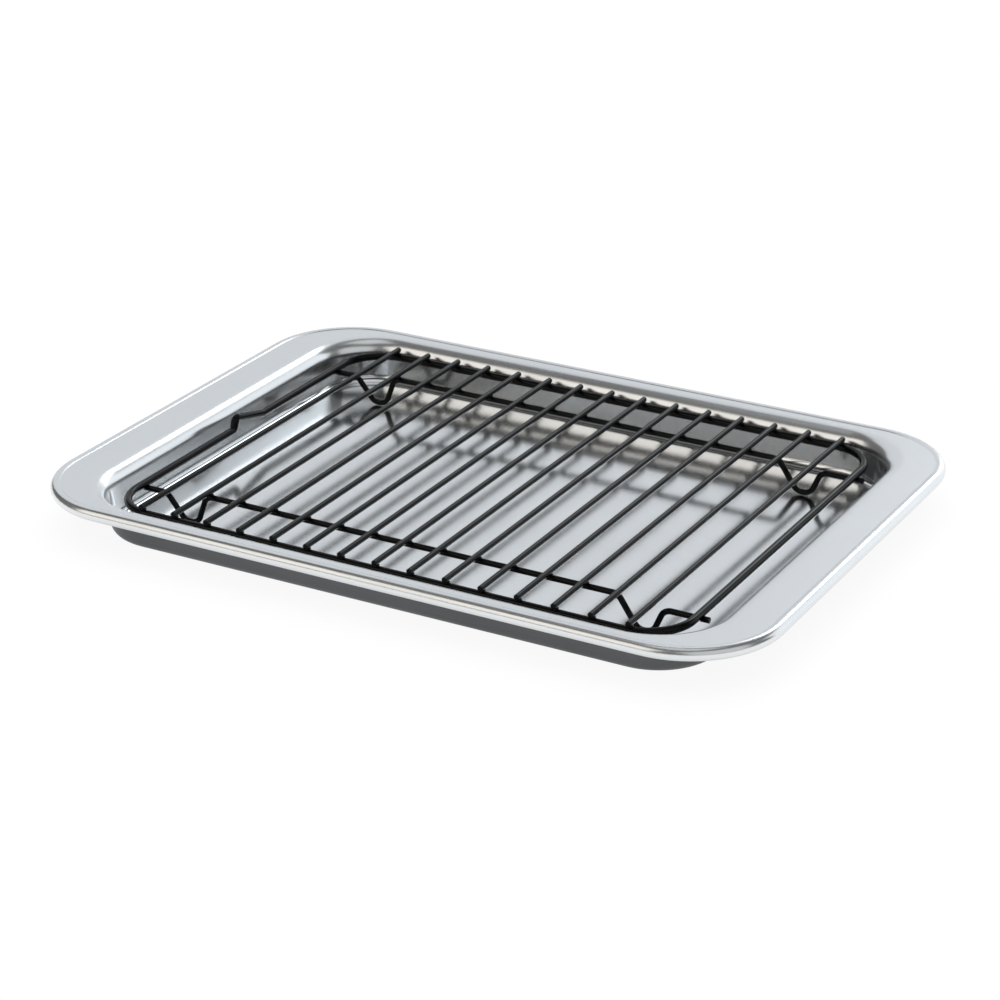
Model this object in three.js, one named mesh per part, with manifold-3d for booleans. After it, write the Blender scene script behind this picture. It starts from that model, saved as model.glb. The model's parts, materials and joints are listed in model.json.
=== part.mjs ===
// Broiler pan: a shallow pressed sheet-metal tray with a wired rolled rim, and a coated wire rack
// that stands in it on two bent leg wires and lifts straight out.
// Millimetres, +Z up, +X along the pan, origin at the middle of the tray's underside.
import * as THREE from "three";
import { mergeVertices } from "three/addons/utils/BufferGeometryUtils.js";
import Module from "manifold-3d";

// Tray
const TRAY_LENGTH = 356;
const TRAY_WIDTH = 260;
const TRAY_HEIGHT = 22;
const RIM_CORNER_RADIUS = 44;
const SHEET = 0.8;
const END_FLANGE = 19.5; // outer edge to the start of the lip, at the two handle ends
const SIDE_FLANGE = 7; // the same along the two long sides
const LIP_RADIUS = 8;
const LIP_CORNER_RADIUS = 38; // plan radius of the opening where the lip starts
const WALL_DRAFT = THREE.MathUtils.degToRad(8);
const FLOOR_RADIUS = 4;

// Rolled rim and the wire inside it
const BEAD_RADIUS = 3;
const BEAD_PROUD = 0.5; // height of the bead's top over the flat of the flange
const CURL_END = THREE.MathUtils.degToRad(265); // how far round the sheet curls, from the bead's top
const RIM_WIRE_CLEARANCE = 0.3;

// Rack wires
const FRAME_WIRE = 3.8;
const CROSS_WIRE = 2.7;
const LEG_WIRE = 2.7;
const WELD_GAP = 0.2; // left between wires that are welded where they cross
const FOOT_CLEARANCE = 0.3; // foot over the tray's floor

// Rack layout
const FRAME_END_GAP = 11.5; // frame centreline to the top of the tray's end wall
const FRAME_SIDE_GAP = 5; // the same at the long walls
const FRAME_CORNER_RADIUS = 22;
const FRAME_STUB = 2; // straight end of a long side past its corner
const RACK_HEIGHT = 20; // floor of the tray to the top of the cross wires
const CROSS_WIRE_COUNT = 15;
const CROSS_WIRE_END_INSET = 18.6; // frame centreline to the first and the last cross wire
const CROSS_WIRE_OVERHANG = 1.3; // past the frame's centreline

// Leg wires
const LEG_INSET = 28; // from the frame's long centreline
const LEG_END_OVERHANG = 4.2; // past the frame's short centreline
const LEG_END_SINK = 1.3; // how far the frame is pressed into a leg's end in welding
const FOOT_INSET = 25; // middle of a foot from the frame's short centreline
const FOOT_FLAT = 7; // length of the foot's bottom between its corners
const FOOT_LEFT_SPREAD = 9.5; // run of the slope on a foot's left
const FOOT_RIGHT_SPREAD = 5; // run of the steeper slope on its right
const LEG_BEND_RADIUS = 5;

// Raised kink in the left end of the frame, and the butt weld in the right end
const KINK_FOOT_Y = -10;
const KINK_STEP = 2; // length over which the wire jumps up
const KINK_RISE = 5.6;
const KINK_RETURN = 23; // length over which it slopes back down
const KINK_BEND_RADIUS = 2.3;
const WELD_Y = 5;
const WELD_SWELL = 0.4;
const WELD_HALF_LENGTH = 1.2;

// Facets
const CORNER_STEPS = 9;
const LIP_STEPS = 5;
const FLOOR_STEPS = 5;
const BEAD_STEPS = 14;
const BEND_STEPS = 4;
const FRAME_SIDES = 10;
const WIRE_SIDES = 8;

const UP = new THREE.Vector3(0, 0, 1);

// Places worked out from the sizes above
const halfLength = TRAY_LENGTH / 2;
const halfWidth = TRAY_WIDTH / 2;
const flangeTop = TRAY_HEIGHT - BEAD_PROUD;
const beadCentre = TRAY_HEIGHT - BEAD_RADIUS;
const frameHalfLength = halfLength - END_FLANGE - LIP_RADIUS - FRAME_END_GAP;
const frameHalfWidth = halfWidth - SIDE_FLANGE - LIP_RADIUS - FRAME_SIDE_GAP;
const frameJoinY = frameHalfWidth - FRAME_CORNER_RADIUS - FRAME_STUB;
const crossWireZ = SHEET + RACK_HEIGHT - CROSS_WIRE / 2;
const frameZ = crossWireZ - (CROSS_WIRE + FRAME_WIRE) / 2 - WELD_GAP;
const legRunZ = crossWireZ - (CROSS_WIRE + LEG_WIRE) / 2 - WELD_GAP;
const legEndZ = frameZ - (FRAME_WIRE + LEG_WIRE) / 2 + LEG_END_SINK;
const footZ = SHEET + FOOT_CLEARANCE + LEG_WIRE / 2;

// Finishes
const pressedMetal = { color: 0xc4c6c8, metalness: 1, roughness: 0.32 };
const plainWire = { color: 0x8d9093, metalness: 1, roughness: 0.45 };
const blackCoating = { color: 0x16181a, metalness: 0, roughness: 0.35 };

const wasm = await Module();
wasm.setup();

// Closed geometry as a solid that can be cut.
function solidOf(geometry) {
  const bare = geometry.clone();
  bare.deleteAttribute("normal");
  const merged = mergeVertices(bare);
  const vertProperties = merged.attributes.position.array;
  const triVerts = new Uint32Array(merged.index.array);
  return new wasm.Manifold(new wasm.Mesh({ numProp: 3, vertProperties, triVerts }));
}

function geometryOf(solid) {
  const { vertProperties, triVerts } = solid.getMesh();
  const geometry = new THREE.BufferGeometry();
  geometry.setAttribute("position", new THREE.BufferAttribute(vertProperties, 3));
  geometry.setIndex(new THREE.BufferAttribute(triVerts, 1));
  geometry.computeVertexNormals();
  return geometry;
}

// Skin over a row of rings of equal length. Each ring turns left-handed about the way the row runs.
// The row is closed by flat caps, or by joining its last ring to its first.
function loft(rings, joinEnds = false) {
  const size = rings[0].length;
  const position = rings.flat().flatMap((p) => [p.x, p.y, p.z]);
  const index = [];
  const spans = joinEnds ? rings.length : rings.length - 1;
  for (let i = 0; i < spans; i++) {
    const here = i * size;
    const next = ((i + 1) % rings.length) * size;
    for (let j = 0; j < size; j++) {
      const k = (j + 1) % size;
      index.push(here + j, next + j, next + k, here + j, next + k, here + k);
    }
  }
  if (!joinEnds) {
    const last = (rings.length - 1) * size;
    for (let j = 1; j < size - 1; j++) {
      index.push(0, j, j + 1);
      index.push(last, last + j + 1, last + j);
    }
  }
  const geometry = new THREE.BufferGeometry();
  geometry.setAttribute("position", new THREE.Float32BufferAttribute(position, 3));
  geometry.setIndex(index);
  geometry.computeVertexNormals();
  return geometry;
}

// Level rounded rectangle as a ring of points, seen from above it runs anticlockwise.
function roundedRing(halfX, halfY, radius, z) {
  const ring = [];
  for (let corner = 0; corner < 4; corner++) {
    const sideX = corner === 0 || corner === 3 ? 1 : -1;
    const sideY = corner < 2 ? 1 : -1;
    for (let step = 0; step <= CORNER_STEPS; step++) {
      const angle = (corner + step / CORNER_STEPS) * (Math.PI / 2);
      const x = sideX * (halfX - radius) + radius * Math.cos(angle);
      const y = sideY * (halfY - radius) + radius * Math.sin(angle);
      ring.push(new THREE.Vector3(x, y, z));
    }
  }
  return ring;
}

// Route through corner points, with each bend an arc of its corner's radius.
function bentRoute(corners, closed) {
  const count = corners.length;
  const route = [];
  corners.forEach(({ at, radius, steps = BEND_STEPS }, i) => {
    const isEnd = !closed && (i === 0 || i === count - 1);
    if (isEnd || !radius) {
      route.push(at.clone());
      return;
    }
    const back = corners[(i + count - 1) % count].at.clone().sub(at).normalize();
    const on = corners[(i + 1) % count].at.clone().sub(at).normalize();
    const half = back.angleTo(on) / 2;
    const reach = radius / Math.tan(half);
    const middle = back.clone().add(on).setLength(radius / Math.sin(half));
    const centre = at.clone().add(middle);
    const from = back.multiplyScalar(reach).sub(middle);
    const to = on.multiplyScalar(reach).sub(middle);
    const sweep = from.angleTo(to);
    for (let step = 0; step <= steps; step++) {
      const turned = (sweep * step) / steps;
      const arm = from.clone().multiplyScalar(Math.sin(sweep - turned) / Math.sin(sweep));
      arm.addScaledVector(to, Math.sin(turned) / Math.sin(sweep));
      route.push(centre.clone().add(arm));
    }
  });
  return route;
}

// Round wire along a route. The section's first axis stays square to the given steady direction.
function wireAlong(route, radiusAt, sides, steady, closed) {
  const count = route.length;
  const rings = route.map((point, i) => {
    const before = route[closed ? (i + count - 1) % count : Math.max(i - 1, 0)];
    const after = route[closed ? (i + 1) % count : Math.min(i + 1, count - 1)];
    const arriving = point.clone().sub(before).normalize();
    const leaving = after.clone().sub(point).normalize();
    const along = arriving.add(leaving).normalize();
    const side = along.clone().cross(steady).normalize();
    const up = side.clone().cross(along);
    const radius = radiusAt(point);
    return Array.from({ length: sides }, (_, j) => {
      const angle = (2 * Math.PI * (j + 0.5)) / sides;
      return point
        .clone()
        .addScaledVector(side, radius * Math.cos(angle))
        .addScaledVector(up, radius * Math.sin(angle));
    });
  });
  return loft(rings, closed);
}

function piece(name, geometry, finish) {
  const mesh = new THREE.Mesh(geometry, new THREE.MeshStandardMaterial(finish));
  mesh.name = name;
  return mesh;
}

// Points of one face of the tray's sheet, from the edge of the floor out to the end of the curl.
// depth is 0 for the inner face and SHEET for the outer face. An inset is measured from the rim's
// outer edge near the rim, and from the start of the lip inside it.
function sheetFace(depth) {
  const points = [];
  const lipZ = flangeTop - LIP_RADIUS;
  const floorZ = SHEET + FLOOR_RADIUS;
  const lipArc = LIP_RADIUS - depth;
  const floorArc = FLOOR_RADIUS + depth;
  const wallRise = lipZ - floorZ + (LIP_RADIUS + FLOOR_RADIUS) * Math.sin(WALL_DRAFT);
  const floorInset =
    (LIP_RADIUS + FLOOR_RADIUS) * Math.cos(WALL_DRAFT) + wallRise * Math.tan(WALL_DRAFT);
  const straight = Math.PI / 2 - WALL_DRAFT;
  for (let step = 0; step <= FLOOR_STEPS; step++) {
    const angle = (straight * step) / FLOOR_STEPS;
    const lipInset = floorInset - floorArc * Math.sin(angle);
    points.push({ lipInset, z: floorZ - floorArc * Math.cos(angle) });
  }
  for (let step = LIP_STEPS; step >= 0; step--) {
    const angle = (straight * step) / LIP_STEPS;
    points.push({ lipInset: lipArc * Math.sin(angle), z: lipZ + lipArc * Math.cos(angle) });
  }
  const beadArc = BEAD_RADIUS - depth;
  const join = Math.acos((flangeTop - depth - beadCentre) / beadArc);
  for (let step = 0; step <= BEAD_STEPS; step++) {
    const angle = -join + ((CURL_END + join) * step) / BEAD_STEPS;
    const rimInset = BEAD_RADIUS - beadArc * Math.sin(angle);
    points.push({ rimInset, z: beadCentre + beadArc * Math.cos(angle) });
  }
  return points;
}

function sheetRing({ rimInset, lipInset, z }) {
  if (lipInset === undefined) {
    const radius = RIM_CORNER_RADIUS - rimInset;
    return roundedRing(halfLength - rimInset, halfWidth - rimInset, radius, z);
  }
  const halfX = halfLength - END_FLANGE - lipInset;
  const halfY = halfWidth - SIDE_FLANGE - lipInset;
  return roundedRing(halfX, halfY, LIP_CORNER_RADIUS - lipInset, z);
}

// Tray: one pressing, with its sheet curled under into a bead round the whole rim.
function makeTray() {
  const faces = [...sheetFace(0), ...sheetFace(SHEET).reverse()];
  return piece("tray", loft(faces.map(sheetRing)), pressedMetal);
}

// Stiffening wire that lies loose in the rolled rim.
function makeRimWire() {
  const radius = BEAD_RADIUS - SHEET - RIM_WIRE_CLEARANCE;
  const route = sheetRing({ rimInset: BEAD_RADIUS, z: beadCentre });
  return piece("rim_wire", wireAlong(route, () => radius, WIRE_SIDES, UP, true), plainWire);
}

// End of the rack's frame, a length of thick wire between two corners. The left one has the raised
// kink, the right one the butt weld's swelling. clearance is added to the wire's radius.
function frameEnd(side, clearance) {
  const x = side * frameHalfLength;
  const reach = frameJoinY - WELD_GAP / 2;
  const at = (y, rise = 0) => new THREE.Vector3(x, y, frameZ + rise);
  const kink = (y, rise) => ({ at: at(y, rise), radius: KINK_BEND_RADIUS });
  const weldPoint = at(WELD_Y);
  const middle =
    side < 0
      ? [
          kink(KINK_FOOT_Y, 0),
          kink(KINK_FOOT_Y + KINK_STEP, KINK_RISE),
          kink(KINK_FOOT_Y + KINK_STEP + KINK_RETURN, 0),
        ]
      : [
          { at: at(WELD_Y - WELD_HALF_LENGTH) },
          { at: weldPoint },
          { at: at(WELD_Y + WELD_HALF_LENGTH) },
        ];
  const route = bentRoute([{ at: at(-reach) }, ...middle, { at: at(reach) }], false);
  const radiusAt = (point) => {
    const swell = point.distanceTo(weldPoint) < WELD_HALF_LENGTH / 2 ? WELD_SWELL : 0;
    return FRAME_WIRE / 2 + swell + clearance;
  };
  return wireAlong(route, radiusAt, FRAME_SIDES, UP, false);
}

// Long side of the frame, bent round a corner at each of its ends.
function frameSide(side) {
  const reach = frameJoinY + WELD_GAP / 2;
  const at = (x, y) => new THREE.Vector3(x * frameHalfLength, side * y, frameZ);
  const corner = (x) => ({
    at: at(x, frameHalfWidth),
    radius: FRAME_CORNER_RADIUS,
    steps: CORNER_STEPS,
  });
  const route = bentRoute([{ at: at(-1, reach) }, corner(-1), corner(1), { at: at(1, reach) }], false);
  return wireAlong(route, () => FRAME_WIRE / 2, FRAME_SIDES, UP, false);
}

// Frame of the rack: thick wire bent to a rounded rectangle, in four lengths welded end to end.
function makeFrame() {
  return [
    piece("frame_front", frameSide(-1), blackCoating),
    piece("frame_rear", frameSide(1), blackCoating),
    piece("frame_left", frameEnd(-1, 0), blackCoating),
    piece("frame_right", frameEnd(1, 0), blackCoating),
  ];
}

// Cross wires, welded on top of the frame's long sides.
function makeCrossWires() {
  const first = -frameHalfLength + CROSS_WIRE_END_INSET;
  const pitch = (-2 * first) / (CROSS_WIRE_COUNT - 1);
  const length = 2 * (frameHalfWidth + CROSS_WIRE_OVERHANG);
  const radius = CROSS_WIRE / 2;
  return Array.from({ length: CROSS_WIRE_COUNT }, (_, i) => {
    const name = "cross_wire_" + String(i + 1).padStart(2, "0");
    const geometry = new THREE.CylinderGeometry(radius, radius, length, WIRE_SIDES);
    const wire = piece(name, geometry, blackCoating);
    wire.position.set(first + i * pitch, 0, crossWireZ);
    return wire;
  });
}

// Leg wire: runs under the cross wires, dips to a foot near each end and ends under the frame,
// with a saddle in each end where the frame is pressed into it.
function makeLeg(name, y) {
  const bend = (x, z) => ({ at: new THREE.Vector3(x, y, z), radius: LEG_BEND_RADIUS });
  const footX = frameHalfLength - FOOT_INSET;
  const endX = frameHalfLength + LEG_END_OVERHANG;
  const foot = (x, leftZ, rightZ) => [
    bend(x - FOOT_FLAT / 2 - FOOT_LEFT_SPREAD, leftZ),
    bend(x - FOOT_FLAT / 2, footZ),
    bend(x + FOOT_FLAT / 2, footZ),
    bend(x + FOOT_FLAT / 2 + FOOT_RIGHT_SPREAD, rightZ),
  ];
  const feet = [...foot(-footX, legEndZ, legRunZ), ...foot(footX, legRunZ, legEndZ)];
  const route = bentRoute([bend(-endX, legEndZ), ...feet, bend(endX, legEndZ)], false);
  const across = new THREE.Vector3(0, 1, 0);
  const wire = solidOf(wireAlong(route, () => LEG_WIRE / 2, WIRE_SIDES, across, false));
  const left = solidOf(frameEnd(-1, WELD_GAP));
  const right = solidOf(frameEnd(1, WELD_GAP));
  const saddled = wire.subtract(left).subtract(right);
  return piece(name, geometryOf(saddled), blackCoating);
}

const tray = new THREE.Group();
tray.add(makeTray(), makeRimWire());

const legY = frameHalfWidth - LEG_INSET;
const rack = new THREE.Group();
rack.add(...makeFrame(), ...makeCrossWires());
rack.add(makeLeg("leg_wire_front", -legY), makeLeg("leg_wire_rear", legY));

const broilerPan = new THREE.Group();
broilerPan.add(tray, rack);

export default broilerPan;
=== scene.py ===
"""Finished looks of a broiler pan: a pressed sheet-metal tray and the coated wire rack that stands in it.

Metres, +Z up, +X along the pan, origin at the middle of the tray's underside.
"""

import json
import logging
import math
from dataclasses import dataclass, field
from enum import Enum
from typing import Any, Sequence

import bpy
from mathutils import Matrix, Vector

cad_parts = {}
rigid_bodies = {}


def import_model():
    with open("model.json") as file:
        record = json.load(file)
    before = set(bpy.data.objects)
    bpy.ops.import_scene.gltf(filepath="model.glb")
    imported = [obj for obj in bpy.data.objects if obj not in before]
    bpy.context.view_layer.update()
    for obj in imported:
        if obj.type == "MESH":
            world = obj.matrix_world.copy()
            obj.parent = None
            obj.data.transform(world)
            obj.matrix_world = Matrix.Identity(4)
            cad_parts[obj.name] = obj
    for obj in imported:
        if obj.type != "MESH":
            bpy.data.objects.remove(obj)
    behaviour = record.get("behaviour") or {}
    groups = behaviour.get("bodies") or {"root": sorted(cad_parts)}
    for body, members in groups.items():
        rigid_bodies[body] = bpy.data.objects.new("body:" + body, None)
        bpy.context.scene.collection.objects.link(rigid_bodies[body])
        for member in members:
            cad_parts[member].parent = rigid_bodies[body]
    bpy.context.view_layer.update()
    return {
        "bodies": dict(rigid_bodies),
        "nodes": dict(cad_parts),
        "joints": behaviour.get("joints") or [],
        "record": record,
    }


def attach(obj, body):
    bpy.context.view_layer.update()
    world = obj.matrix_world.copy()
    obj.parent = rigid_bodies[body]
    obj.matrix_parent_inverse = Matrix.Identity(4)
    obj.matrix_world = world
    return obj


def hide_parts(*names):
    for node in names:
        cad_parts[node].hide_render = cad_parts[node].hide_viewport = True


LOG = logging.getLogger("broiler_pan")
MM = 0.001
Rgba = tuple[float, float, float, float]


def linear(code: str) -> Rgba:
    """Turns an sRGB hex colour to linear light.

    Args:
        code: The colour as "#rrggbb".

    Returns:
        Red, green, blue and a full alpha.
    """
    parts = [int(code[i : i + 2], 16) / 255 for i in (1, 3, 5)]
    red, green, blue = [p / 12.92 if p <= 0.04045 else ((p + 0.055) / 1.055) ** 2.4 for p in parts]
    return red, green, blue, 1.0


def add_node(
    tree: bpy.types.NodeTree,
    kind: str,
    settings: dict[str, Any] | None = None,
    inputs: dict[str | int, Any] | None = None,
) -> bpy.types.Node:
    """Adds a node to a tree, sets it up and links it.

    Args:
        tree: The tree that takes the node.
        kind: The node's Blender type.
        settings: Attributes to set on the node.
        inputs: Values or other nodes' output sockets, by input name or number.

    Returns:
        The new node.
    """
    node = tree.nodes.new(kind)
    for name, value in (settings or {}).items():
        setattr(node, name, value)
    for key, value in (inputs or {}).items():
        if isinstance(value, bpy.types.NodeSocket):
            tree.links.new(value, node.inputs[key])
        else:
            node.inputs[key].default_value = value
    return node


def new_material(name: str) -> tuple[bpy.types.Material, bpy.types.NodeTree]:
    """Starts a material with an empty node tree.

    Args:
        name: The material's name.

    Returns:
        The material and its tree.
    """
    material = bpy.data.materials.new(name)
    material.use_nodes = True
    material.node_tree.nodes.clear()
    return material, material.node_tree


@dataclass(frozen=True)
class RolledSheet:
    """Aluminium sheet, rolled bright and pressed.

    The rolls leave fine lines along the sheet, so it mirrors softly, and handling leaves it a little cloudy.
    """

    name: str
    colour: str
    cloud_colour: str
    roughness: tuple[float, float]
    line_width: float = 0.45 * MM  # drawn several times as coarse as real roll lines, to show at all
    line_length: float = 28 * MM
    cloud_size: float = 45 * MM
    line_depth: float = 0.004 * MM

    def make(self) -> bpy.types.Material:
        """Returns the sheet's material."""
        material, tree = new_material(self.name)
        place = add_node(tree, "ShaderNodeTexCoord").outputs["Object"]
        line_scale = (1 / self.line_length, 1 / self.line_width, 1 / self.line_width)
        along = add_node(tree, "ShaderNodeMapping", inputs={"Vector": place, "Scale": line_scale})
        lines = add_node(
            tree,
            "ShaderNodeTexNoise",
            inputs={"Vector": along.outputs[0], "Scale": 1.0, "Detail": 4.0, "Roughness": 0.6},
        )
        clouds = add_node(
            tree,
            "ShaderNodeTexNoise",
            inputs={"Vector": place, "Scale": 1 / self.cloud_size, "Detail": 3.0},
        )
        mottle = add_node(
            tree,
            "ShaderNodeMath",
            {"operation": "MULTIPLY"},
            {0: clouds.outputs[0], 1: 0.5},
        )
        blend = add_node(
            tree,
            "ShaderNodeMath",
            {"operation": "MULTIPLY_ADD"},
            {0: lines.outputs[0], 1: 0.5, 2: mottle.outputs[0]},
        )
        rough = add_node(
            tree,
            "ShaderNodeMapRange",
            inputs={
                "Value": blend.outputs[0],
                "From Min": 0.3,
                "From Max": 0.7,
                "To Min": self.roughness[0],
                "To Max": self.roughness[1],
            },
        )
        tint = add_node(
            tree,
            "ShaderNodeMix",
            {"data_type": "RGBA"},
            {0: blend.outputs[0], 6: linear(self.colour), 7: linear(self.cloud_colour)},
        )
        bump = add_node(
            tree,
            "ShaderNodeBump",
            inputs={"Height": lines.outputs[0], "Strength": 1.0, "Distance": self.line_depth},
        )
        shader = add_node(
            tree,
            "ShaderNodeBsdfPrincipled",
            inputs={
                "Base Color": tint.outputs[2],
                "Metallic": 1.0,
                "Roughness": rough.outputs[0],
                "Normal": bump.outputs[0],
            },
        )
        add_node(tree, "ShaderNodeOutputMaterial", inputs={"Surface": shader.outputs[0]})
        return material


@dataclass(frozen=True)
class BakedCoating:
    """Black non-stick coating, sprayed on steel wire and baked.

    It flows out glossy but not flat: a fine orange peel breaks up the thin highlight along each wire.
    """

    name: str = "black_nonstick_coating_baked"
    colour: str = "#030404"
    worn_colour: str = "#060707"
    roughness: tuple[float, float] = (0.12, 0.2)
    peel_size: float = 1.6 * MM
    peel_depth: float = 0.012 * MM
    ior: float = 1.24  # low, as a fluoropolymer's is, so it stays deep black

    def make(self) -> bpy.types.Material:
        """Returns the coating's material."""
        material, tree = new_material(self.name)
        place = add_node(tree, "ShaderNodeTexCoord").outputs["Object"]
        peel = add_node(
            tree,
            "ShaderNodeTexNoise",
            inputs={"Vector": place, "Scale": 1 / self.peel_size, "Detail": 2.0},
        )
        rub = add_node(
            tree,
            "ShaderNodeTexNoise",
            inputs={"Vector": place, "Scale": 1 / (12 * self.peel_size), "Detail": 4.0},
        )
        rough = add_node(
            tree,
            "ShaderNodeMapRange",
            inputs={
                "Value": rub.outputs[0],
                "From Min": 0.3,
                "From Max": 0.7,
                "To Min": self.roughness[0],
                "To Max": self.roughness[1],
            },
        )
        tint = add_node(
            tree,
            "ShaderNodeMix",
            {"data_type": "RGBA"},
            {0: rub.outputs[0], 6: linear(self.colour), 7: linear(self.worn_colour)},
        )
        bump = add_node(
            tree,
            "ShaderNodeBump",
            inputs={"Height": peel.outputs[0], "Strength": 1.0, "Distance": self.peel_depth},
        )
        shader = add_node(
            tree,
            "ShaderNodeBsdfPrincipled",
            inputs={
                "Base Color": tint.outputs[2],
                "Roughness": rough.outputs[0],
                "IOR": self.ior,
                "Normal": bump.outputs[0],
            },
        )
        add_node(tree, "ShaderNodeOutputMaterial", inputs={"Surface": shader.outputs[0]})
        return material


@dataclass(frozen=True)
class DrawnWire:
    """Bare steel wire, drawn through a die.

    Drawing leaves it grey and satin, with streaks along its length and a dull bloom.
    """

    name: str = "bare_steel_wire_drawn"
    colour: str = "#8c8f92"
    bloom_colour: str = "#6f6e6b"
    roughness: tuple[float, float] = (0.35, 0.55)
    bloom_size: float = 6 * MM

    def make(self) -> bpy.types.Material:
        """Returns the wire's material."""
        material, tree = new_material(self.name)
        place = add_node(tree, "ShaderNodeTexCoord").outputs["Object"]
        bloom = add_node(
            tree,
            "ShaderNodeTexNoise",
            inputs={"Vector": place, "Scale": 1 / self.bloom_size, "Detail": 5.0},
        )
        rough = add_node(
            tree,
            "ShaderNodeMapRange",
            inputs={
                "Value": bloom.outputs[0],
                "From Min": 0.3,
                "From Max": 0.7,
                "To Min": self.roughness[0],
                "To Max": self.roughness[1],
            },
        )
        tint = add_node(
            tree,
            "ShaderNodeMix",
            {"data_type": "RGBA"},
            {0: bloom.outputs[0], 6: linear(self.colour), 7: linear(self.bloom_colour)},
        )
        shader = add_node(
            tree,
            "ShaderNodeBsdfPrincipled",
            inputs={
                "Base Color": tint.outputs[2],
                "Metallic": 1.0,
                "Roughness": rough.outputs[0],
            },
        )
        add_node(tree, "ShaderNodeOutputMaterial", inputs={"Surface": shader.outputs[0]})
        return material


@dataclass(frozen=True)
class StudioPaper:
    """White studio paper, uncoated.

    It is matt and even, and shows only the soft shadow of what stands on it.
    """

    name: str = "white_studio_paper"
    colour: str = "#f7f7f7"
    glow: float = 0.92
    mirrored: float = 0.7

    def make(self) -> bpy.types.Material:
        """Returns the paper's material: white to the eye, a little less so in metal, with a faint shadow."""
        material, tree = new_material(self.name)
        matt = add_node(tree, "ShaderNodeBsdfDiffuse", inputs={"Color": linear(self.colour)})
        white = add_node(tree, "ShaderNodeEmission", inputs={"Strength": 1.0})
        path = add_node(tree, "ShaderNodeLightPath")
        seen = add_node(
            tree,
            "ShaderNodeMath",
            {"operation": "MAXIMUM"},
            {0: path.outputs["Is Camera Ray"], 1: path.outputs["Is Transmission Ray"]},
        )
        either = add_node(
            tree,
            "ShaderNodeMath",
            {"operation": "MULTIPLY_ADD"},
            {0: path.outputs["Is Glossy Ray"], 1: self.mirrored, 2: seen.outputs[0]},
        )
        share = add_node(
            tree, "ShaderNodeMath", {"operation": "MULTIPLY"}, {0: either.outputs[0], 1: self.glow}
        )
        both = add_node(
            tree,
            "ShaderNodeMixShader",
            inputs={0: share.outputs[0], 1: matt.outputs[0], 2: white.outputs[0]},
        )
        add_node(tree, "ShaderNodeOutputMaterial", inputs={"Surface": both.outputs[0]})
        return material


@dataclass(frozen=True)
class Bend:
    """A corner of a wire's route, and the radius that the wire is bent to there."""

    at: Vector
    radius: float = 0.0
    steps: int = 8


def bent_path(bends: Sequence[Bend], closed: bool) -> list[Vector]:
    """Follows a wire through its bends.

    Args:
        bends: The corners in order.
        closed: True for a loop.

    Returns:
        Points along the wire's middle line, with each bend an arc.
    """
    points: list[Vector] = []
    count = len(bends)
    for i, bend in enumerate(bends):
        if bend.radius == 0 or (not closed and i in (0, count - 1)):
            points.append(bend.at.copy())
            continue
        back = (bends[i - 1].at - bend.at).normalized()
        on = (bends[(i + 1) % count].at - bend.at).normalized()
        half = back.angle(on) / 2
        reach = bend.radius / math.tan(half)
        middle = (back + on).normalized() * (bend.radius / math.sin(half))
        start = back * reach - middle
        stop = on * reach - middle
        sweep = start.angle(stop)
        for step in range(bend.steps + 1):
            turned = sweep * step / bend.steps
            arm = (start * math.sin(sweep - turned) + stop * math.sin(turned)) / math.sin(sweep)
            points.append(bend.at + middle + arm)
    return points


def path_mesh(name: str, points: Sequence[Vector], swell: Sequence[float], closed: bool) -> bpy.types.Object:
    """Makes a carrier object whose edges are a wire's middle line.

    Args:
        name: The carrier's name.
        points: The middle line.
        swell: The wire's thickness at each point, as a share of its own.
        closed: True for a loop.

    Returns:
        The carrier.
    """
    count = len(points)
    edges = [(i, (i + 1) % count) for i in range(count if closed else count - 1)]
    mesh = bpy.data.meshes.new(name)
    mesh.from_pydata([tuple(p) for p in points], edges, [])
    mesh.attributes.new("swell", "FLOAT", "POINT").data.foreach_set("value", list(swell))
    carrier = bpy.data.objects.new(name, mesh)
    bpy.context.scene.collection.objects.link(carrier)
    return carrier


def grown(carrier: bpy.types.Object, tree: bpy.types.NodeTree, sizes: dict[str, Any]) -> bpy.types.Object:
    """Runs a Geometry Nodes tree on a carrier and keeps the result as a plain mesh.

    Args:
        carrier: The object that holds the tree's starting points. It is used up.
        tree: The tree.
        sizes: Values for the tree's inputs, by their names.

    Returns:
        A new object of the carrier's name.
    """
    name = carrier.name
    modifier = carrier.modifiers.new(tree.name, "NODES")
    modifier.node_group = tree
    for item in tree.interface.items_tree:
        if item.item_type == "SOCKET" and item.in_out == "INPUT" and item.name in sizes:
            modifier[item.identifier] = sizes[item.name]
    bpy.context.view_layer.update()
    mesh = bpy.data.meshes.new_from_object(carrier.evaluated_get(bpy.context.evaluated_depsgraph_get()))
    carrier.modifiers.remove(modifier)
    bpy.data.objects.remove(carrier)
    mesh.name = name
    made = bpy.data.objects.new(name, mesh)
    bpy.context.scene.collection.objects.link(made)
    return made


def new_tree(name: str, inputs: dict[str, str]) -> tuple[bpy.types.NodeTree, bpy.types.Node]:
    """Starts a Geometry Nodes tree.

    Args:
        name: The tree's name.
        inputs: Socket types of its sizes, by name.

    Returns:
        The tree and its input node.
    """
    tree = bpy.data.node_groups.new(name, "GeometryNodeTree")
    tree.interface.new_socket("Geometry", in_out="INPUT", socket_type="NodeSocketGeometry")
    for label, kind in inputs.items():
        tree.interface.new_socket(label, in_out="INPUT", socket_type=kind)
    tree.interface.new_socket("Geometry", in_out="OUTPUT", socket_type="NodeSocketGeometry")
    return tree, add_node(tree, "NodeGroupInput")


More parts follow.
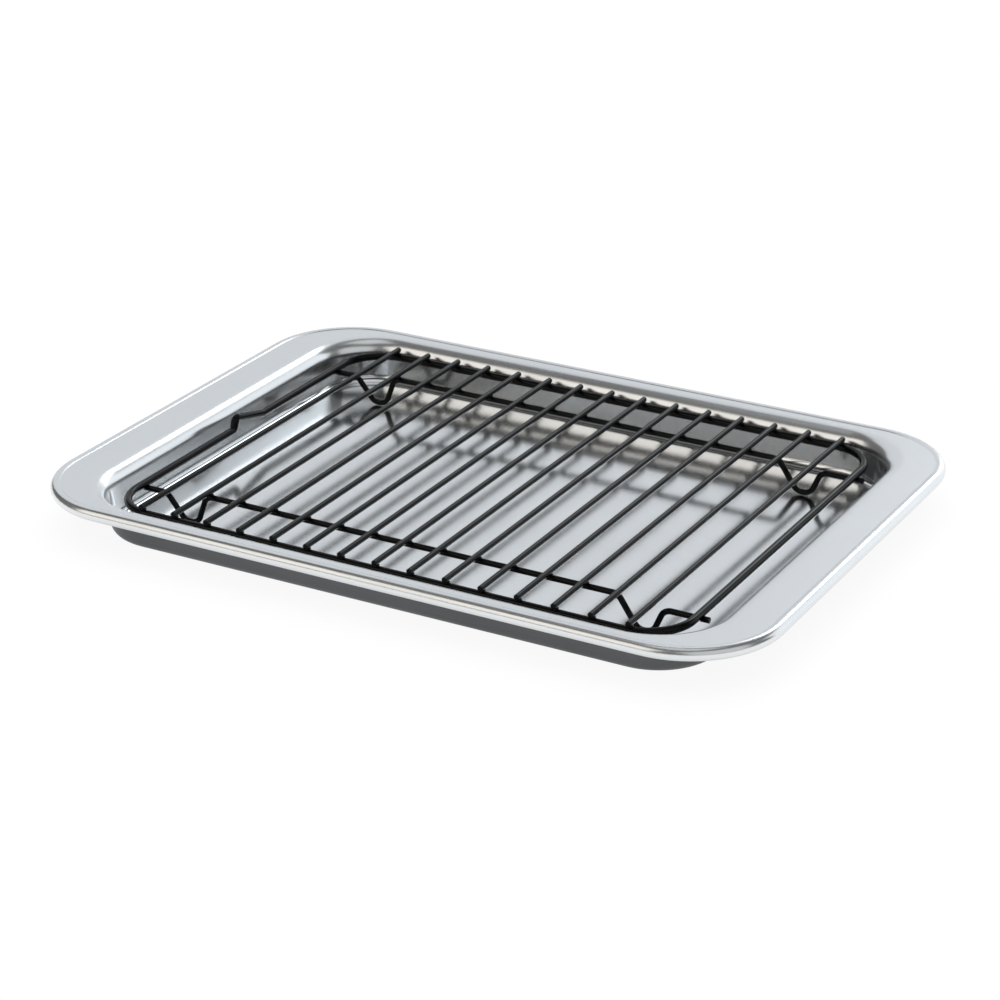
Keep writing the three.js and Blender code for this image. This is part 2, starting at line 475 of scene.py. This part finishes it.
def end_tree(tree: bpy.types.NodeTree, shape: bpy.types.NodeSocket, finish: bpy.types.NodeSocket) -> None:
    """Ends a tree with real geometry, smooth faces and a material.

    Args:
        tree: The tree.
        shape: The geometry so far.
        finish: The material's socket.
    """
    real = add_node(tree, "GeometryNodeRealizeInstances", inputs={0: shape})
    smooth = add_node(tree, "GeometryNodeSetShadeSmooth", inputs={0: real.outputs[0]})
    dressed = add_node(
        tree, "GeometryNodeSetMaterial", inputs={"Geometry": smooth.outputs[0], "Material": finish}
    )
    add_node(tree, "NodeGroupOutput", inputs={0: dressed.outputs[0]})


def wire_tree() -> bpy.types.NodeTree:
    """Returns the tree that draws a row of equal round wires along one path."""
    tree, given = new_tree(
        "wires_along_a_path",
        {
            "Wire radius": "NodeSocketFloat",
            "Sides": "NodeSocketInt",
            "Count": "NodeSocketInt",
            "Pitch": "NodeSocketVector",
            "Coating": "NodeSocketMaterial",
        },
    )
    swell = add_node(tree, "GeometryNodeInputNamedAttribute", {"data_type": "FLOAT"}, {"Name": "swell"})
    path = add_node(tree, "GeometryNodeMeshToCurve", inputs={"Mesh": given.outputs["Geometry"]})
    sized = add_node(
        tree,
        "GeometryNodeSetCurveRadius",
        inputs={"Curve": path.outputs[0], "Radius": swell.outputs["Attribute"]},
    )
    section = add_node(
        tree,
        "GeometryNodeCurvePrimitiveCircle",
        inputs={"Resolution": given.outputs["Sides"], "Radius": given.outputs["Wire radius"]},
    )
    wire = add_node(
        tree,
        "GeometryNodeCurveToMesh",
        inputs={"Curve": sized.outputs[0], "Profile Curve": section.outputs[0], "Fill Caps": True},
    )
    row = add_node(
        tree,
        "GeometryNodeMeshLine",
        inputs={"Count": given.outputs["Count"], "Offset": given.outputs["Pitch"]},
    )
    wires = add_node(
        tree,
        "GeometryNodeInstanceOnPoints",
        inputs={"Points": row.outputs[0], "Instance": wire.outputs[0]},
    )
    end_tree(tree, wires.outputs[0], given.outputs["Coating"])
    return tree


def weld_tree() -> bpy.types.NodeTree:
    """Returns the tree that puts a squeezed bead of metal at every crossing of two welded wires."""
    tree, given = new_tree("weld_beads", {"Coating": "NodeSocketMaterial"})
    size = add_node(
        tree, "GeometryNodeInputNamedAttribute", {"data_type": "FLOAT_VECTOR"}, {"Name": "bead_size"}
    )
    drop = add_node(tree, "GeometryNodeMeshIcoSphere", inputs={"Radius": 1.0, "Subdivisions": 3})
    beads = add_node(
        tree,
        "GeometryNodeInstanceOnPoints",
        inputs={
            "Points": given.outputs["Geometry"],
            "Instance": drop.outputs[0],
            "Scale": size.outputs["Attribute"],
        },
    )
    end_tree(tree, beads.outputs[0], given.outputs["Coating"])
    return tree


class Face(Enum):
    """The two faces of the tray's sheet."""

    INNER = 0
    OUTER = 1


class Slot(Enum):
    """The tray's material slots: its bright floor and wall, its satin rim, and its outside, rougher and
    painted dark grey as shade.
    """

    FLOOR = 0
    RIM = 1
    OUTSIDE = 2


@dataclass(frozen=True)
class SheetPoint:
    """A point of the sheet's section: how far in from the rim or from the lip, and how high."""

    inset: float
    height: float
    from_lip: bool
    crease: bool = False


@dataclass
class Tray:
    """Shallow tray pressed from one sheet, with its edge rolled round a wire. Sizes in millimetres."""

    floor_finish: RolledSheet
    rim_finish: RolledSheet
    # the outside's finish: rougher, with a dark grey colour that is painted shade
    outer_finish_and_painted_shade: RolledSheet
    wire_finish: DrawnWire
    length: float = 356
    width: float = 260
    height: float = 22
    rim_corner: float = 44
    sheet: float = 0.8
    end_flange: float = 19.5
    side_flange: float = 7
    lip_radius: float = 8
    lip_corner: float = 38
    draft: float = math.radians(8)
    floor_radius: float = 4
    bead_radius: float = 3
    bead_proud: float = 0.5
    curl_end: float = math.radians(265)
    arc_steps: int = 12
    bead_steps: int = 30
    corner_steps: int = 16
    floor_insets: tuple[float, ...] = (105, 80, 55, 35, 20, 10, 4, 1, 0.3)
    flange_edge: float = 0.4  # flat strip beside the lip, which keeps the flange's shading level
    least_corner: float = 0.3

    def face_points(self, face: Face) -> list[SheetPoint]:
        """Draws one face of the sheet's section, from the middle of the floor to the end of the curl.

        Args:
            face: Which face of the sheet.

        Returns:
            The section's points in order.
        """
        depth = 0.0 if face is Face.INNER else self.sheet
        flange_top = self.height - self.bead_proud
        lip_z = flange_top - self.lip_radius
        floor_z = self.sheet + self.floor_radius
        lip_arc = self.lip_radius - depth
        floor_arc = self.floor_radius + depth
        both = self.lip_radius + self.floor_radius
        rise = lip_z - floor_z + both * math.sin(self.draft)
        floor_inset = both * math.cos(self.draft) + rise * math.tan(self.draft)
        straight = math.pi / 2 - self.draft
        points = [SheetPoint(floor_inset + i, self.sheet - depth, True) for i in self.floor_insets]
        for step in range(self.arc_steps + 1):
            angle = straight * step / self.arc_steps
            inset = floor_inset - floor_arc * math.sin(angle)
            points.append(SheetPoint(inset, floor_z - floor_arc * math.cos(angle), True))
        for step in range(self.arc_steps, -1, -1):
            angle = straight * step / self.arc_steps
            inset = lip_arc * math.sin(angle)
            points.append(SheetPoint(inset, lip_z + lip_arc * math.cos(angle), True))
        points.append(SheetPoint(-self.flange_edge, flange_top - depth, True))
        bead_arc = self.bead_radius - depth
        bead_z = self.height - self.bead_radius
        join = math.acos((flange_top - depth - bead_z) / bead_arc)
        for step in range(self.bead_steps + 1):
            angle = -join + (self.curl_end + join) * step / self.bead_steps
            inset = self.bead_radius - bead_arc * math.sin(angle)
            ends = step in (0, self.bead_steps)
            points.append(SheetPoint(inset, bead_z + bead_arc * math.cos(angle), False, ends))
        return points

    def ring(self, point: SheetPoint) -> list[tuple[float, float, float]]:
        """Carries a point of the section round the tray.

        Args:
            point: The point.

        Returns:
            A level rounded rectangle in metres, anticlockwise from above.
        """
        half_x = self.length / 2 - point.inset
        half_y = self.width / 2 - point.inset
        radius = self.rim_corner - point.inset
        if point.from_lip:
            half_x -= self.end_flange
            half_y -= self.side_flange
            radius = max(self.lip_corner - point.inset, self.least_corner)
        ring = []
        for corner in range(4):
            side_x = 1 if corner in (0, 3) else -1
            side_y = 1 if corner < 2 else -1
            for step in range(self.corner_steps + 1):
                angle = (corner + step / self.corner_steps) * math.pi / 2
                x = side_x * (half_x - radius) + radius * math.cos(angle)
                y = side_y * (half_y - radius) + radius * math.sin(angle)
                ring.append((x * MM, y * MM, point.height * MM))
        return ring

    def build(self) -> bpy.types.Object:
        """Makes the whole sheet as one closed mesh.

        Returns:
            The tray's shell, with its material slots filled in the order of Slot.
        """
        inner = self.face_points(Face.INNER)
        outer = self.face_points(Face.OUTER)[::-1]
        section = inner + outer
        rings = [self.ring(point) for point in section]
        size = len(rings[0])
        faces = [tuple(range(size))]
        slots = [Slot.FLOOR.value]
        floor_rings = len(self.floor_insets) + self.arc_steps + 1
        for i in range(len(rings) - 1):
            slot = Slot.FLOOR if i < floor_rings else Slot.RIM if i < len(inner) else Slot.OUTSIDE
            for j in range(size):
                k = (j + 1) % size
                faces.append((i * size + j, i * size + k, (i + 1) * size + k, (i + 1) * size + j)[::-1])
                slots.append(slot.value)
        last = (len(rings) - 1) * size
        faces.append(tuple(last + j for j in reversed(range(size))))
        slots.append(Slot.OUTSIDE.value)
        mesh = bpy.data.meshes.new("tray_shell")
        mesh.from_pydata([p for ring in rings for p in ring], [], faces)
        mesh.polygons.foreach_set("material_index", slots)
        mesh.shade_smooth()
        sharp = [False] * len(mesh.edges)
        for edge in mesh.edges:
            a, b = (v // size for v in edge.vertices)
            sharp[edge.index] = a == b and section[a].crease
        mesh.attributes.new("sharp_edge", "BOOLEAN", "EDGE").data.foreach_set("value", sharp)
        shell = bpy.data.objects.new("tray_shell", mesh)
        bpy.context.scene.collection.objects.link(shell)
        return shell

    def dress(self, shell: bpy.types.Object, nodes: dict[str, bpy.types.Object]) -> None:
        """Gives the shell and the wire in its rim their finishes, and puts them on the tray's body.

        Args:
            shell: The tray's shell.
            nodes: The frame's nodes.
        """
        for finish in (self.floor_finish, self.rim_finish, self.outer_finish_and_painted_shade):
            shell.data.materials.append(finish.make())
        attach(shell, "tray")
        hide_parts("tray")
        rim_wire = nodes["rim_wire"]
        rim_wire.data.materials.clear()
        rim_wire.data.materials.append(self.wire_finish.make())
        LOG.info("tray shell: %d faces, rim wire dressed", len(shell.data.polygons))


@dataclass
class Rack:
    """Wire rack that stands in the tray: a frame, cross wires and two leg wires. Sizes in millimetres."""

    finish: BakedCoating
    frame_wire: float = 3.8
    thin_wire: float = 2.7
    half_length: float = 139
    half_width: float = 110
    frame_z: float = 16.0
    frame_corner: float = 22
    cross_count: int = 15
    cross_first: float = -120.4
    cross_pitch: float = 17.2
    cross_half: float = 111.3
    cross_z: float = 19.45
    leg_y: float = 82
    leg_run_z: float = 16.55
    leg_end_z: float = 14.05
    foot_z: float = 2.45
    foot_x: float = 114
    foot_flat: float = 7
    foot_left_spread: float = 9.5
    foot_right_spread: float = 5
    leg_end: float = 143.2
    leg_bend: float = 5
    kink_y: float = -10
    kink_step: float = 2
    kink_rise: float = 5.6
    kink_return: float = 23
    kink_bend: float = 2.3
    weld_y: float = 5
    weld_ridge: tuple[tuple[float, float], ...] = (
        (-1.7, 1.0),
        (-1.1, 1.05),
        (-0.5, 1.17),
        (0.0, 1.21),
        (0.5, 1.17),
        (1.1, 1.05),
        (1.7, 1.0),
    )
    cut_round: tuple[tuple[float, float], ...] = ((0.0, 0.6), (0.12, 0.8), (0.35, 0.94), (0.8, 1.0))
    # Half sizes of the weld beads: cross wire on frame, cross wire on leg, and frame on a leg's end.
    frame_bead: tuple[float, float, float] = (1.6, 1.75, 0.7)
    leg_bead: tuple[float, float, float] = (1.45, 1.45, 0.65)
    end_bead: tuple[float, float, float] = (2.1, 1.8, 1.0)
    weld_sink: float = 0.1
    bead_inset: float = 0.3
    sides: int = 20
    pieces: list[bpy.types.Object] = field(default_factory=list)

    def point(self, x: float, y: float, z: float) -> Vector:
        """Returns a point in metres from millimetres."""
        return Vector((x, y, z)) * MM

    def with_cut_ends(self, points: list[Vector], radius: float) -> tuple[list[Vector], list[float]]:
        """Rounds the two cut ends of an open wire under its coating.

        Args:
            points: The wire's middle line.
            radius: The wire's radius in metres.

        Returns:
            The middle line with more points near its ends, and the wire's thickness share at each.
        """
        first = (points[1] - points[0]).normalized()
        last = (points[-2] - points[-1]).normalized()
        head = [(points[0] + first * s * radius, w) for s, w in self.cut_round]
        tail = [(points[-1] + last * s * radius, w) for s, w in reversed(self.cut_round)]
        whole = head + [(p, 1.0) for p in points[1:-1]] + tail
        return [p for p, _ in whole], [w for _, w in whole]

    def frame_path(self) -> tuple[list[Vector], list[float]]:
        """Returns the frame's middle line, a loop with a kink and a weld, and its thickness share."""
        x, y, z = self.half_length, self.half_width, self.frame_z
        ridge = [Bend(self.point(x, self.weld_y + s, z)) for s, _ in self.weld_ridge]
        kinks = [
            (self.kink_y + self.kink_step + self.kink_return, 0),
            (self.kink_y + self.kink_step, self.kink_rise),
            (self.kink_y, 0),
        ]
        corner = self.frame_corner * MM
        bends = [
            *ridge,
            Bend(self.point(x, y, z), corner, 20),
            Bend(self.point(-x, y, z), corner, 20),
            *[Bend(self.point(-x, at, z + up), self.kink_bend * MM) for at, up in kinks],
            Bend(self.point(-x, -y, z), corner, 20),
            Bend(self.point(x, -y, z), corner, 20),
        ]
        points = bent_path(bends, True)
        swell = [w for _, w in self.weld_ridge]
        return points, swell + [1.0] * (len(points) - len(swell))

    def leg_path(self) -> list[Vector]:
        """Returns the front leg wire's middle line, from its left end to its right."""
        run, end, half = self.leg_run_z, self.leg_end_z, self.foot_flat / 2
        route = [(-self.leg_end, end)]
        for x, left_z, right_z in ((-self.foot_x, end, run), (self.foot_x, run, end)):
            route.append((x - half - self.foot_left_spread, left_z))
            route.append((x - half, self.foot_z))
            route.append((x + half, self.foot_z))
            route.append((x + half + self.foot_right_spread, right_z))
        route.append((self.leg_end, end))
        bends = [Bend(self.point(x, -self.leg_y, z), self.leg_bend * MM, 10) for x, z in route]
        return bent_path(bends, False)

    def weld_points(self) -> list[tuple[Vector, Vector]]:
        """Returns the middle and the half sizes of the bead at every welded crossing."""
        touch = self.cross_z - self.thin_wire / 2 - self.weld_sink
        run_left = -self.foot_x + self.foot_flat / 2 + self.foot_right_spread
        run_right = self.foot_x - self.foot_flat / 2 - self.foot_left_spread
        welds = []
        for i in range(self.cross_count):
            x = self.cross_first + i * self.cross_pitch
            for side in (-1, 1):
                y = side * (self.half_width - self.bead_inset)
                welds.append((self.point(x, y, touch), self.point(*self.frame_bead)))
                if run_left < x < run_right:
                    welds.append((self.point(x, side * self.leg_y, touch), self.point(*self.leg_bead)))
        under = self.leg_end_z + self.thin_wire / 2
        for side_x in (-1, 1):
            for side_y in (-1, 1):
                place = self.point(side_x * self.half_length, side_y * self.leg_y, under)
                welds.append((place, self.point(*self.end_bead)))
        return welds

    def build(self) -> None:
        """Makes the frame, the cross wires, the legs and the weld beads."""
        coating = self.finish.make()
        tree = wire_tree()
        thin = self.thin_wire / 2 * MM
        frame_points, frame_swell = self.frame_path()
        frame = grown(
            path_mesh("rack_frame_wire", frame_points, frame_swell, True),
            tree,
            {
                "Wire radius": self.frame_wire / 2 * MM,
                "Sides": self.sides,
                "Count": 1,
                "Pitch": (0, 0, 0),
                "Coating": coating,
            },
        )
        ends = [self.point(self.cross_first, s * self.cross_half, self.cross_z) for s in (-1, 1)]
        cross_points, cross_swell = self.with_cut_ends(ends, thin)
        cross = grown(
            path_mesh("rack_cross_wires", cross_points, cross_swell, False),
            tree,
            {
                "Wire radius": thin,
                "Sides": self.sides,
                "Count": self.cross_count,
                "Pitch": (self.cross_pitch * MM, 0, 0),
                "Coating": coating,
            },
        )
        leg_points, leg_swell = self.with_cut_ends(self.leg_path(), thin)
        legs = grown(
            path_mesh("rack_leg_wires", leg_points, leg_swell, False),
            tree,
            {
                "Wire radius": thin,
                "Sides": self.sides,
                "Count": 2,
                "Pitch": (0, 2 * self.leg_y * MM, 0),
                "Coating": coating,
            },
        )
        welds = self.weld_points()
        mesh = bpy.data.meshes.new("rack_weld_beads")
        mesh.from_pydata([tuple(p) for p, _ in welds], [], [])
        sizes = mesh.attributes.new("bead_size", "FLOAT_VECTOR", "POINT")
        sizes.data.foreach_set("vector", [c for _, s in welds for c in s])
        carrier = bpy.data.objects.new("rack_weld_beads", mesh)
        bpy.context.scene.collection.objects.link(carrier)
        beads = grown(carrier, weld_tree(), {"Coating": coating})
        self.pieces = [frame, cross, legs, beads]

    def dress(self) -> None:
        """Puts the wires on the rack's body in place of its plain solids."""
        frame, cross, legs, beads = self.pieces
        for piece in self.pieces:
            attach(piece, "rack")
            LOG.info("%s: %d faces", piece.name, len(piece.data.polygons))
        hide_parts("frame_front", "frame_rear", "frame_left", "frame_right")
        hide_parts(*[f"cross_wire_{i + 1:02d}" for i in range(self.cross_count)])
        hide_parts("leg_wire_front", "leg_wire_rear")
        LOG.info("%s join the wires at their crossings", beads.name)


@dataclass(frozen=True)
class Softbox:
    """A soft lamp round the pan. Azimuth 0 is behind the pan (+Y) and 90 is to its right (+X)."""

    name: str
    azimuth: float
    elevation: float
    distance: float
    width: float
    height: float
    brightness: float
    colour: str

    def place(self) -> None:
        """Hangs the lamp, facing the pan."""
        lamp = bpy.data.lights.new(self.name, "AREA")
        lamp.shape = "RECTANGLE"
        lamp.size = self.width
        lamp.size_y = self.height
        lamp.energy = math.pi * self.brightness * self.width * self.height
        lamp.color = linear(self.colour)[:3]
        a, e = math.radians(self.azimuth), math.radians(self.elevation)
        away = Vector((math.sin(a) * math.cos(e), math.cos(a) * math.cos(e), math.sin(e)))
        hung = bpy.data.objects.new(self.name, lamp)
        hung.location = away * self.distance
        hung.rotation_mode = "QUATERNION"
        hung.rotation_quaternion = away.to_track_quat("Z", "Y")
        bpy.context.scene.collection.objects.link(hung)


@dataclass
class Studio:
    """White paper, soft lamps and the camera."""

    paper: StudioPaper
    softboxes: tuple[Softbox, ...] = (
        Softbox("back_panel", -28, 32, 2.8, 4.2, 3.0, 0.68, "#f4f8fd"),
        Softbox("window", 27, 17, 2.2, 2.5, 1.4, 1.0, "#f4faff"),
        Softbox("strip", 0, 36.5, 2.2, 0.62, 0.6, 3.6, "#fbfdff"),
        Softbox("side_panel", -149, 29, 2.4, 2.2, 1.8, 1.0, "#fff7ee"),
        Softbox("right_panel", 118, 30, 2.6, 3.2, 2.4, 0.55, "#f7f8fa"),
        Softbox("ceiling_panel", 0, 90, 2.5, 1.5, 1.5, 0.6, "#f7f8fa"),
    )
    room_colour: str = "#a7a6a4"
    room_strength: float = 0.4
    sky_strength: float = 2.0
    sky_spread: float = 80
    floor_half: float = 30
    camera_at: tuple[float, float, float] = (0.58958, -1.06527, 0.54436)
    camera_azimuth: float = 28.988
    camera_elevation: float = 23.864
    camera_lens: float = 105.12

    def set_camera(self) -> None:
        """Sets the camera up at the photograph's place."""
        data = bpy.data.cameras.new("camera")
        data.lens = self.camera_lens
        data.sensor_width = 36
        data.clip_start = 0.05
        camera = bpy.data.objects.new("camera", data)
        camera.location = self.camera_at
        tilt = math.radians(90 - self.camera_elevation)
        camera.rotation_euler = (tilt, 0, math.radians(self.camera_azimuth))
        bpy.context.scene.collection.objects.link(camera)
        bpy.context.scene.camera = camera

    def set_light(self) -> None:
        """Lights the room, the paper and the pan."""
        scene = bpy.context.scene
        scene.view_settings.view_transform = "Standard"
        world = bpy.data.worlds.new("room")
        world.use_nodes = True
        world.node_tree.nodes.clear()
        room = add_node(
            world.node_tree,
            "ShaderNodeBackground",
            inputs={"Color": linear(self.room_colour), "Strength": self.room_strength},
        )
        add_node(world.node_tree, "ShaderNodeOutputWorld", inputs={"Surface": room.outputs[0]})
        scene.world = world
        for softbox in self.softboxes:
            softbox.place()
        sky = bpy.data.lights.new("overhead", "SUN")
        sky.energy = self.sky_strength
        sky.angle = math.radians(self.sky_spread)
        overhead = bpy.data.objects.new("overhead", sky)
        overhead.visible_glossy = False
        scene.collection.objects.link(overhead)

    def set_floor(self) -> None:
        """Lays the paper under the pan."""
        half = self.floor_half
        mesh = bpy.data.meshes.new("studio_floor")
        corners = [(-half, -half), (half, -half), (half, half), (-half, half)]
        mesh.from_pydata([(x, y, -0.0001) for x, y in corners], [], [(0, 1, 2, 3)])
        mesh.materials.append(self.paper.make())
        floor = bpy.data.objects.new("studio_floor", mesh)
        bpy.context.scene.collection.objects.link(floor)


def main() -> None:
    """Builds the pan on its frame and sets up the studio."""
    logging.basicConfig(level=logging.INFO, format="%(name)s: %(message)s")
    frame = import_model()
    studio = Studio(StudioPaper())
    studio.set_camera()
    studio.set_light()
    studio.set_floor()
    tray = Tray(
        RolledSheet("rolled_aluminium_sheet_bright", "#eceeef", "#dfe2e4", (0.11, 0.18)),
        RolledSheet("rolled_aluminium_sheet_satin", "#e9ebec", "#dcdfe1", (0.21, 0.29)),
        # The outside is rougher, which is a real duller face. Its dark grey colour is painted shade: the
        # shadowed paper under the flange that the outer wall reflects.
        RolledSheet("rolled_aluminium_sheet_dull_painted_shade", "#6d6f71", "#5d5f61", (0.34, 0.46)),
        DrawnWire(),
    )
    tray.dress(tray.build(), frame["nodes"])
    rack = Rack(BakedCoating())
    rack.build()
    rack.dress()


if __name__ == "__main__":
    main()
